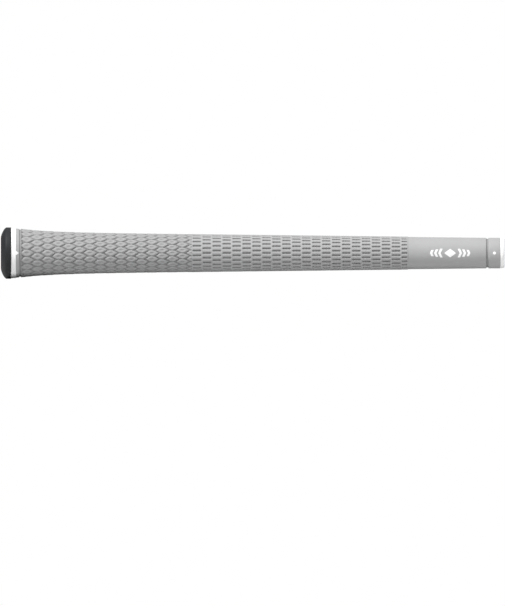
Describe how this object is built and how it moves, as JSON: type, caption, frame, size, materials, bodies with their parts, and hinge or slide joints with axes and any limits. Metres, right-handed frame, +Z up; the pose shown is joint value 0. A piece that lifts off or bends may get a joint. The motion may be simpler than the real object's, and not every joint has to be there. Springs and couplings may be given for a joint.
{
  "type": "golf grip",
  "caption": "Tapered rubber golf grip with a black end cap, white trim rings, a scale-patterned upper zone, a slotted lower zone and a smooth zone with a white mark.",
  "frame": {"origin": "centre of the seat inside the end cap, where the butt end of the club shaft stops", "axes": "+X along the grip's axis from the cap to the mouth, down the shaft; +Z up; the pointer, dot and emblem face -Y"},
  "size_m": [0.267, 0.0272, 0.0272],
  "materials": {
    "cap_rubber": "satin",
    "white_rubber": "satin",
    "grey_rubber": "matte",
    "core_rubber": "matte",
    "white_inlay": "satin"
  },
  "bodies": {
    "root": {"end_cap": "cap_rubber", "butt_ring": "white_rubber", "grip_sleeve": "grey_rubber", "core_liner": "core_rubber", "tip_ring": "white_rubber", "index_dot": "white_inlay", "emblem": "white_inlay"}
  },
  "joints": []
}
